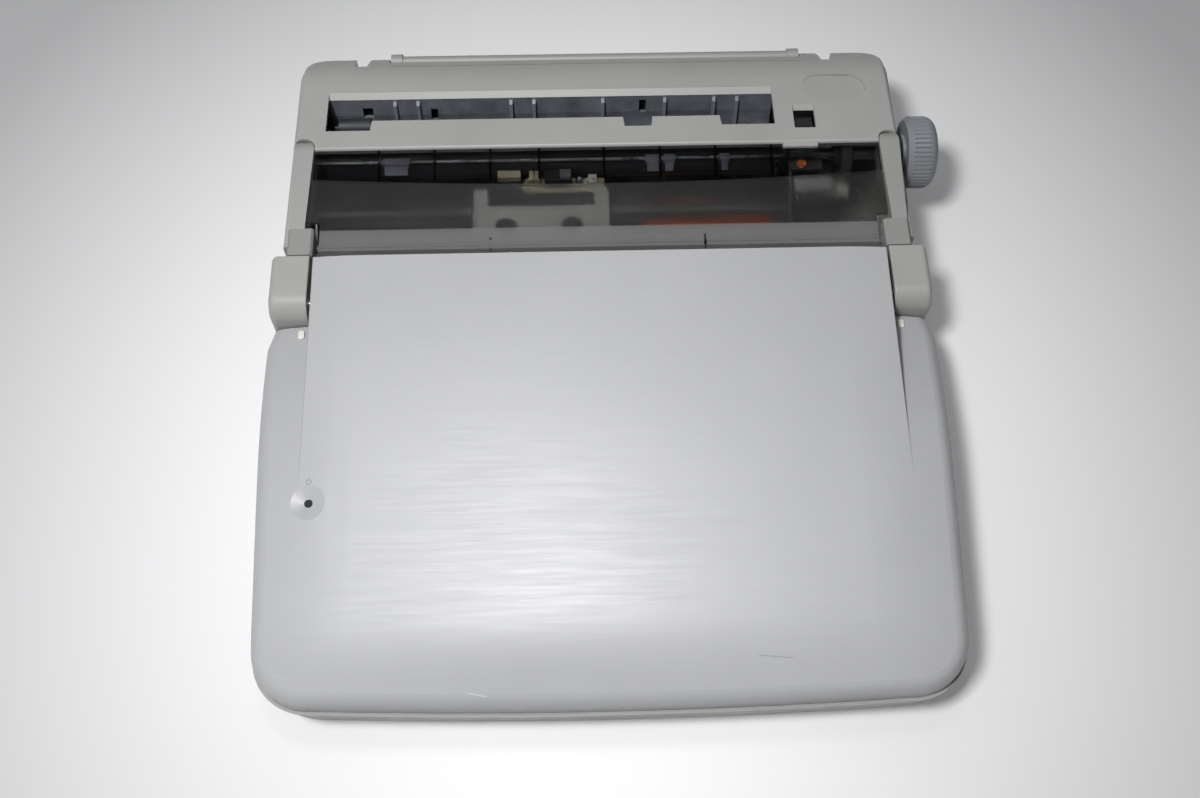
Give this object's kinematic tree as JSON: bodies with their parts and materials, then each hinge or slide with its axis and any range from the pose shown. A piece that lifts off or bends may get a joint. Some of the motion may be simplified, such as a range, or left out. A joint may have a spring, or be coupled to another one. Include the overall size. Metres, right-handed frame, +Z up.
{
  "type": "portable word processor",
  "caption": "Closed portable word processor: hinged screen lid over a keyboard in front, thermal printer with platen knob, paper slot and smoked cover behind.",
  "frame": {"origin": "on the desk plane, under the middle of the overall box", "axes": "+X to the user's right, +Y to the rear, +Z up"},
  "size_m": [0.3844, 0.3978, 0.0783],
  "materials": {
    "case_grey": "fine texture",
    "lid_grey": "satin silver grey",
    "deck_grey": "fine texture",
    "key_cream": "fine texture",
    "key_grey": "fine texture",
    "smoked_clear": "smoked, polished",
    "support_grey": "fine texture",
    "knob_grey": "ribbed satin",
    "platen_rubber": "ground smooth",
    "black_rubber": "plain",
    "white_rubber": "plain",
    "grey_rubber": "plain",
    "steel": "bright",
    "zinc_plate": "zinc-plated sheet",
    "black_plastic": "fine texture",
    "white_plastic": "natural",
    "cassette_grey": "plain",
    "head_beige": "plain",
    "orange_film": "flexible film",
    "orange_plastic": "plain",
    "board_green": "solder resist",
    "lamp_dark": "smooth",
    "window_clear": "anti-glare",
    "lcd_green": "film",
    "motor_can": "plated"
  },
  "bodies": {
    "case": {"carriage_motor": "motor_can", "case_screws": "steel", "drive_belt": "black_rubber", "feed_motor": "motor_can", "floppy_drive": "zinc_plate", "frame_screw": "orange_plastic", "guide_shaft": "steel", "head_cable": "orange_film", "hinge_brackets": "zinc_plate", "hinge_cover_left": "case_grey", "hinge_cover_right": "case_grey", "key_plate": "zinc_plate", "keyboard_deck": "deck_grey", "lower_case": "case_grey", "main_board": "board_green", "mains_inlet": "black_plastic", "paper_chute": "black_plastic", "power_supply": "zinc_plate", "printer_frame": "zinc_plate", "printer_top": "case_grey", "rubber_feet": "black_rubber", "side_cover_left": "case_grey", "side_cover_right": "case_grey"},
    "lid": {"lid_shell": "lid_grey", "lamp_lens": "lamp_dark", "lid_bumpers": "white_rubber", "screen_bezel": "deck_grey", "screen_window": "window_clear", "lcd_panel": "lcd_green", "hinge_pins": "steel"},
    "contrast": {"contrast_slider": "black_plastic"},
    "number_row": {"number_keys": "key_cream"},
    "letter_row": {"letter_keys": "key_cream"},
    "home_row": {"home_keys": "key_cream"},
    "shift_row": {"shift_keys": "key_cream"},
    "bottom_row": {"bottom_keys": "key_grey"},
    "space": {"space_bar": "key_cream"},
    "function_row": {"function_keys": "key_grey"},
    "cover": {"printer_cover": "smoked_clear"},
    "support": {"paper_support": "support_grey"},
    "platen": {"platen_shaft": "steel", "platen_roller": "platen_rubber", "platen_knob": "knob_grey", "platen_gear": "white_plastic"},
    "pinion": {"motor_pinion": "white_plastic"},
    "pinch": {"pinch_rollers": "grey_rubber"},
    "idler_roller": {"paper_roller": "grey_rubber"},
    "lever": {"release_lever": "black_plastic"},
    "carriage": {"carriage": "black_plastic", "print_head": "head_beige", "ribbon_cassette": "cassette_grey"},
    "supply": {"supply_hub": "black_plastic"},
    "takeup": {"takeup_hub": "black_plastic"},
    "idler": {"idler_pulley": "white_plastic"},
    "drive_pulley": {"motor_pulley": "white_plastic"},
    "switch": {"power_switch": "black_plastic"},
    "door": {"drive_door": "black_plastic"},
    "eject": {"eject_button": "key_grey"},
    "button_right": {"release_button_right": "case_grey"},
    "button_left": {"release_button_left": "case_grey"}
  },
  "joints": [
    {"name": "lid_hinge", "type": "hinge", "parent": "case", "child": "lid", "pos_m": [-0.00583, 0.0276, 0.057], "axis": [-1, 0, 0], "range_deg": [0, 110]},
    {"name": "contrast_slide", "type": "slide", "parent": "lid", "child": "contrast", "axis": [0, 1, 0], "range_m": [-0.009, 0.022]},
    {"name": "cover_hinge", "type": "hinge", "parent": "case", "child": "cover", "pos_m": [-0.00583, 0.0631, 0.058], "axis": [1, 0, 0], "range_deg": [0, 50]},
    {"name": "support_hinge", "type": "hinge", "parent": "case", "child": "support", "pos_m": [-0.00583, 0.1941, 0.0624], "axis": [1, 0, 0], "range_deg": [0, 150]},
    {"name": "platen_turn", "type": "hinge", "parent": "case", "child": "platen", "pos_m": [-0.00583, 0.1261, 0.055], "axis": [1, 0, 0], "continuous": true},
    {"name": "pinion_turn", "type": "hinge", "parent": "case", "child": "pinion", "pos_m": [0.13917, 0.11246, 0.03755], "axis": [1, 0, 0], "continuous": true},
    {"name": "pinch_turn", "type": "hinge", "parent": "case", "child": "pinch", "pos_m": [-0.00583, 0.13032, 0.03925], "axis": [1, 0, 0], "continuous": true},
    {"name": "paper_roller_turn", "type": "hinge", "parent": "case", "child": "idler_roller", "pos_m": [-0.00583, 0.1466, 0.0605], "axis": [1, 0, 0], "continuous": true},
    {"name": "release_lever_turn", "type": "hinge", "parent": "case", "child": "lever", "pos_m": [0.11417, 0.1341, 0.063], "axis": [-1, 0, 0], "range_deg": [0, 20]},
    {"name": "carriage_slide", "type": "slide", "parent": "case", "child": "carriage", "axis": [1, 0, 0], "range_m": [-0.082, 0.1]},
    {"name": "supply_turn", "type": "hinge", "parent": "carriage", "child": "supply", "pos_m": [-0.05883, 0.0781, 0.05], "axis": [0, 0, 1], "continuous": true},
    {"name": "takeup_turn", "type": "hinge", "parent": "carriage", "child": "takeup", "pos_m": [-0.02133, 0.0781, 0.05], "axis": [0, 0, 1], "continuous": true},
    {"name": "idler_turn", "type": "hinge", "parent": "case", "child": "idler", "pos_m": [-0.15383, 0.0781, 0.028], "axis": [0, 0, 1], "continuous": true},
    {"name": "drive_pulley_turn", "type": "hinge", "parent": "case", "child": "drive_pulley", "pos_m": [0.07617, 0.0781, 0.028], "axis": [0, 0, 1], "continuous": true},
    {"name": "number_row_press", "type": "slide", "parent": "case", "child": "number_row", "axis": [0, 0, -1], "range_m": [0, 0.003], "stiffness_N_per_m": 800, "springref_m": -0.003},
    {"name": "letter_row_press", "type": "slide", "parent": "case", "child": "letter_row", "axis": [0, 0, -1], "range_m": [0, 0.003], "stiffness_N_per_m": 800, "springref_m": -0.003},
    {"name": "home_row_press", "type": "slide", "parent": "case", "child": "home_row", "axis": [0, 0, -1], "range_m": [0, 0.003], "stiffness_N_per_m": 800, "springref_m": -0.003},
    {"name": "shift_row_press", "type": "slide", "parent": "case", "child": "shift_row", "axis": [0, 0, -1], "range_m": [0, 0.003], "stiffness_N_per_m": 800, "springref_m": -0.003},
    {"name": "bottom_row_press", "type": "slide", "parent": "case", "child": "bottom_row", "axis": [0, 0, -1], "range_m": [0, 0.003], "stiffness_N_per_m": 800, "springref_m": -0.003},
    {"name": "space_press", "type": "slide", "parent": "case", "child": "space", "axis": [0, 0, -1], "range_m": [0, 0.003], "stiffness_N_per_m": 800, "springref_m": -0.003},
    {"name": "function_row_press", "type": "slide", "parent": "case", "child": "function_row", "axis": [0, 0, -1], "range_m": [0, 0.003], "stiffness_N_per_m": 800, "springref_m": -0.003},
    {"name": "power_switch_rock", "type": "hinge", "parent": "case", "child": "switch", "pos_m": [-0.18033, 0.1691, 0.047], "axis": [0, 0, 1], "range_deg": [0, 10]},
    {"name": "drive_door_swing", "type": "hinge", "parent": "case", "child": "door", "pos_m": [0.17317, -0.0529, 0.0192], "axis": [0, -1, 0], "range_deg": [0, 70], "stiffness_Nm_per_rad": 0.0004},
    {"name": "eject_press", "type": "slide", "parent": "case", "child": "eject", "axis": [-1, 0, 0], "range_m": [0, 0.002], "stiffness_N_per_m": 200, "springref_m": -0.002},
    {"name": "button_right_press", "type": "slide", "parent": "case", "child": "button_right", "axis": [-1, 0, 0], "range_m": [0, 0.002], "stiffness_N_per_m": 300, "springref_m": -0.003},
    {"name": "button_left_press", "type": "slide", "parent": "case", "child": "button_left", "axis": [1, 0, 0], "range_m": [0, 0.002], "stiffness_N_per_m": 300, "springref_m": -0.003}
  ],
  "couplings": [
    {"joint": "pinion_turn", "follows": "platen_turn", "ratio": -2.6667},
    {"joint": "pinch_turn", "follows": "platen_turn", "ratio": -2.2},
    {"joint": "idler_turn", "follows": "carriage_slide", "rad_per_m": 173.9},
    {"joint": "drive_pulley_turn", "follows": "carriage_slide", "rad_per_m": 173.9}
  ]
}
